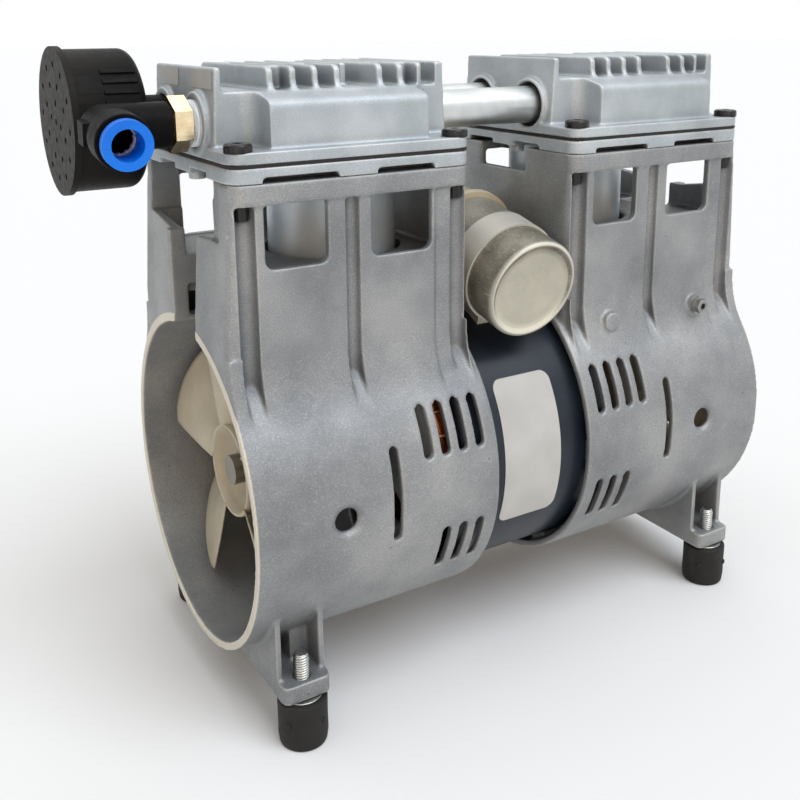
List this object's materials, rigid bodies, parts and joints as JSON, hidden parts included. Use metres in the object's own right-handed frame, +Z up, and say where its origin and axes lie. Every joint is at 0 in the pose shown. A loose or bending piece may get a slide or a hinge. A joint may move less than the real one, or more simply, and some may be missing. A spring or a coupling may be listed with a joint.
{
  "type": "twin cylinder vacuum pump",
  "caption": "Twin-cylinder rocking-piston vacuum pump: two finned cast towers on a round motor, capacitor on top, muffler and push-in elbow on one head, four rubber feet.",
  "frame": {"origin": "on the floor, in the middle of the four screw holes under the rubber feet", "axes": "+X along the shaft towards the end without fittings, -Y is the front with the rating label, +Z up"},
  "size_m": [0.2866, 0.1324, 0.2533],
  "materials": {
    "casting": "satin",
    "anodised": "satin",
    "tube": "satin",
    "steel": "satin",
    "black_steel": "satin",
    "shell_paint": "satin",
    "copper": "gloss",
    "can": "satin",
    "cream_plastic": "satin",
    "fan_plastic": "satin",
    "black_plastic": "satin",
    "blue_plastic": "gloss",
    "white_plastic": "matte",
    "brass_plated": "gloss",
    "rubber": "matte",
    "gasket": "matte",
    "felt": "matte",
    "label": "satin"
  },
  "bodies": {
    "pump": {"left_housing": "casting", "right_housing": "casting", "left_cylinder": "anodised", "right_cylinder": "anodised", "cylinder_seals": "rubber", "left_valve_plate": "casting", "right_valve_plate": "casting", "left_gasket": "gasket", "right_gasket": "gasket", "left_head": "casting", "right_head": "casting", "head_screws": "black_steel", "front_tube": "tube", "rear_tube": "tube", "tube_seals": "rubber", "reed_clamps": "steel", "left_main_bearing": "steel", "right_main_bearing": "steel", "motor_shell": "shell_paint", "stator_stack": "steel", "windings": "copper", "tie_bolts": "steel", "capacitor_can": "can", "capacitor_cap": "cream_plastic", "capacitor_strap": "steel", "muffler_body": "black_plastic", "muffler_cover": "black_plastic", "muffler_felt": "felt", "fitting_stud": "brass_plated", "thread_tape": "white_plastic", "rating_label": "label", "port_labels": "label", "feet": "rubber", "foot_studs": "steel", "ground_screw": "steel"},
    "shaft": {"shaft": "steel", "rotor": "steel", "left_eccentric": "steel", "right_eccentric": "steel", "left_fan": "fan_plastic", "right_fan": "fan_plastic", "fan_clips": "steel"},
    "left_rod": {"left_rod": "casting", "left_rod_bearing": "steel", "left_cup": "white_plastic", "left_cup_clamp": "steel"},
    "right_rod": {"right_rod": "casting", "right_rod_bearing": "steel", "right_cup": "white_plastic", "right_cup_clamp": "steel"},
    "left_intake_reed": {"left_intake_reed": "steel"},
    "right_intake_reed": {"right_intake_reed": "steel"},
    "left_exhaust_reed": {"left_exhaust_reed": "steel"},
    "right_exhaust_reed": {"right_exhaust_reed": "steel"},
    "elbow": {"fitting_elbow": "black_plastic", "fitting_collet": "white_plastic"},
    "release_ring": {"release_ring": "blue_plastic"}
  },
  "joints": [
    {"name": "shaft_spin", "type": "hinge", "parent": "pump", "child": "shaft", "pos_m": [0, 0, 0.0863], "axis": [1, 0, 0], "continuous": true},
    {"name": "left_rod_swing", "type": "hinge", "parent": "shaft", "child": "left_rod", "pos_m": [-0.0605, 0, 0.0899], "axis": [1, 0, 0], "continuous": true, "deforming": ["left_cup"]},
    {"name": "right_rod_swing", "type": "hinge", "parent": "shaft", "child": "right_rod", "pos_m": [0.0605, 0, 0.0827], "axis": [1, 0, 0], "continuous": true, "deforming": ["right_cup"]},
    {"name": "left_intake_flap", "type": "hinge", "parent": "pump", "child": "left_intake_reed", "pos_m": [-0.0545, -0.01, 0.20833], "axis": [0, -1, 0], "range_deg": [0, 4], "stiffness_Nm_per_rad": 0.03},
    {"name": "left_exhaust_flap", "type": "hinge", "parent": "pump", "child": "left_exhaust_reed", "pos_m": [-0.0545, 0.01, 0.21427], "axis": [0, 1, 0], "range_deg": [0, 8], "stiffness_Nm_per_rad": 0.03},
    {"name": "right_intake_flap", "type": "hinge", "parent": "pump", "child": "right_intake_reed", "pos_m": [0.0665, -0.01, 0.20833], "axis": [0, -1, 0], "range_deg": [0, 4], "stiffness_Nm_per_rad": 0.03},
    {"name": "right_exhaust_flap", "type": "hinge", "parent": "pump", "child": "right_exhaust_reed", "pos_m": [0.0665, 0.01, 0.21427], "axis": [0, 1, 0], "range_deg": [0, 8], "stiffness_Nm_per_rad": 0.03},
    {"name": "elbow_swivel", "type": "hinge", "parent": "pump", "child": "elbow", "pos_m": [-0.1525, -0.01685, 0.2269], "axis": [1, 0, 0], "range_deg": [-90, 80]},
    {"name": "ring_push", "type": "slide", "parent": "elbow", "child": "release_ring", "axis": [0, 0.9925, 0.1219], "range_m": [0, 0.0012], "stiffness_N_per_m": 800}
  ],
  "couplings": [
    {"joint": "left_rod_swing", "follows": "shaft_spin", "ratio": -1},
    {"joint": "right_rod_swing", "follows": "shaft_spin", "ratio": -1}
  ]
}
